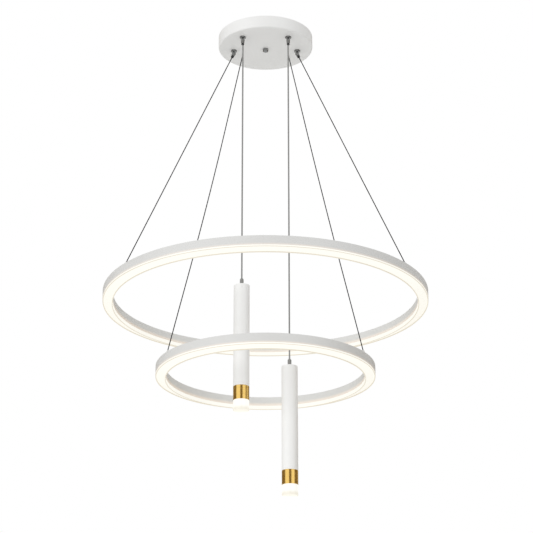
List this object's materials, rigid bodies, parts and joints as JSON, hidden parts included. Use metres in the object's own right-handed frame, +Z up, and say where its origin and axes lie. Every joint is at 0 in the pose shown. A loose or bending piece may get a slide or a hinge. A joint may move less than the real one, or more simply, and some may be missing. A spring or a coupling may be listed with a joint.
{
  "type": "led ring chandelier",
  "caption": "Ceiling chandelier with lit rings hung one below the other on steel cables, and slim lit tubes with brass collars hanging inside them.",
  "frame": {"origin": "middle of the ceiling plane, on the upper face of the canopy's bracket", "axes": "+Z up into the ceiling, +X to the right of the pictured view, -Y towards the viewer"},
  "size_m": [0.5999, 0.6, 0.9256],
  "materials": {
    "white_paint": "satin",
    "zinc_steel": "satin",
    "chrome": "polished",
    "dark_chrome": "polished",
    "driver_plastic": "matte",
    "steel_cable": "satin",
    "grey_cord": "matte",
    "white_nipple": "gloss",
    "opal_diffuser": "satin",
    "led_board": "matte",
    "grey_gland": "matte",
    "brushed_brass": "brushed",
    "lit_acrylic": "gloss",
    "sink_aluminium": "satin"
  },
  "bodies": {
    "canopy": {"ceiling_bracket": "zinc_steel", "bracket_stud": "zinc_steel", "stud_lock_nut": "zinc_steel", "canopy_pan": "white_paint", "canopy_cap_nut": "chrome", "ring_driver": "driver_plastic", "pendant_driver": "driver_plastic", "driver_screws": "zinc_steel", "terminal_block": "driver_plastic", "grip_lock_nuts": "zinc_steel", "inner_grips": "white_nipple", "grip_base_side_left": "chrome", "grip_base_side_right": "chrome", "grip_base_front_left": "chrome", "grip_base_front_right": "chrome"},
    "large_ring_hanger": {"grip_bell_side_left": "chrome", "grip_bell_side_right": "chrome", "large_ring_cable_left": "steel_cable", "large_ring_cable_right": "steel_cable"},
    "large_ring": {"large_ring_channel": "white_paint", "large_ring_diffuser": "opal_diffuser", "large_ring_led_tape": "led_board", "large_ring_anchor_left": "white_nipple", "large_ring_anchor_right": "white_nipple"},
    "small_ring_hanger": {"small_ring_cable_left": "steel_cable", "small_ring_cable_right": "steel_cable"},
    "small_ring": {"small_ring_channel": "white_paint", "small_ring_diffuser": "opal_diffuser", "small_ring_led_tape": "led_board", "small_ring_anchor_left": "white_nipple", "small_ring_anchor_right": "white_nipple"},
    "left_pendant_grip": {"grip_bell_front_left": "chrome"},
    "left_pendant_line": {"left_pendant_cord": "grey_cord"},
    "left_pendant": {"left_pendant_gland": "grey_gland", "left_pendant_top_cap": "white_paint", "left_pendant_tube": "white_paint", "left_pendant_collar": "brushed_brass", "left_pendant_lens": "lit_acrylic", "left_pendant_led_module": "led_board", "left_pendant_heat_sink": "sink_aluminium"},
    "right_pendant_grip": {"grip_bell_front_right": "chrome"},
    "right_pendant_line": {"right_pendant_cord": "grey_cord"},
    "right_pendant": {"right_pendant_gland": "grey_gland", "right_pendant_top_cap": "white_paint", "right_pendant_tube": "white_paint", "right_pendant_collar": "brushed_brass", "right_pendant_lens": "lit_acrylic", "right_pendant_led_module": "led_board", "right_pendant_heat_sink": "sink_aluminium"},
    "plunger_side_left": {"grip_plunger_side_left": "dark_chrome"},
    "plunger_side_right": {"grip_plunger_side_right": "dark_chrome"},
    "plunger_front_left": {"grip_plunger_front_left": "dark_chrome"},
    "plunger_front_right": {"grip_plunger_front_right": "dark_chrome"}
  },
  "joints": [
    {"name": "large_ring_swing", "type": "hinge", "parent": "canopy", "child": "large_ring_hanger", "pos_m": [0, 0.0065, -0.031], "axis": [1, 0, 0], "range_deg": [-5, 5]},
    {"name": "large_ring_height", "type": "slide", "parent": "large_ring_hanger", "child": "large_ring", "axis": [0, 0, 1], "range_m": [-0.06, 0.08], "deforming": ["large_ring_cable_left", "large_ring_cable_right"]},
    {"name": "small_ring_swing", "type": "hinge", "parent": "canopy", "child": "small_ring_hanger", "pos_m": [0, 0.027, -0.0245], "axis": [1, 0, 0], "range_deg": [-5, 5]},
    {"name": "small_ring_height", "type": "slide", "parent": "small_ring_hanger", "child": "small_ring", "axis": [0, 0, 1], "range_m": [-0.06, 0.08], "deforming": ["small_ring_cable_left", "small_ring_cable_right"]},
    {"name": "left_pendant_swing", "type": "hinge", "parent": "canopy", "child": "left_pendant_grip", "pos_m": [-0.0436, -0.05, -0.031], "axis": [1, 0, 0], "range_deg": [-6, 6]},
    {"name": "left_pendant_sway", "type": "hinge", "parent": "left_pendant_grip", "child": "left_pendant_line", "pos_m": [-0.0433, -0.049, -0.04105], "axis": [0, 1, 0], "range_deg": [-4, 4]},
    {"name": "left_pendant_height", "type": "slide", "parent": "left_pendant_line", "child": "left_pendant", "axis": [0, 0, 1], "range_m": [-0.06, 0.12], "deforming": ["left_pendant_cord"]},
    {"name": "right_pendant_swing", "type": "hinge", "parent": "canopy", "child": "right_pendant_grip", "pos_m": [0.0436, -0.05, -0.031], "axis": [1, 0, 0], "range_deg": [-6, 6]},
    {"name": "right_pendant_sway", "type": "hinge", "parent": "right_pendant_grip", "child": "right_pendant_line", "pos_m": [0.0433, -0.049, -0.04105], "axis": [0, 1, 0], "range_deg": [-4, 4]},
    {"name": "right_pendant_height", "type": "slide", "parent": "right_pendant_line", "child": "right_pendant", "axis": [0, 0, 1], "range_m": [-0.06, 0.12], "deforming": ["right_pendant_cord"]},
    {"name": "plunger_side_left_press", "type": "slide", "parent": "large_ring_hanger", "child": "plunger_side_left", "axis": [0.3389, 0.2775, 0.899], "range_m": [0, 0.0015], "stiffness_N_per_m": 120, "springref_m": -0.004},
    {"name": "plunger_side_right_press", "type": "slide", "parent": "large_ring_hanger", "child": "plunger_side_right", "axis": [-0.3389, 0.2775, 0.899], "range_m": [0, 0.0015], "stiffness_N_per_m": 120, "springref_m": -0.004},
    {"name": "plunger_front_left_press", "type": "slide", "parent": "left_pendant_grip", "child": "plunger_front_left", "axis": [0, 0, 1], "range_m": [0, 0.0015], "stiffness_N_per_m": 120, "springref_m": -0.004},
    {"name": "plunger_front_right_press", "type": "slide", "parent": "right_pendant_grip", "child": "plunger_front_right", "axis": [0, 0, 1], "range_m": [0, 0.0015], "stiffness_N_per_m": 120, "springref_m": -0.004}
  ]
}
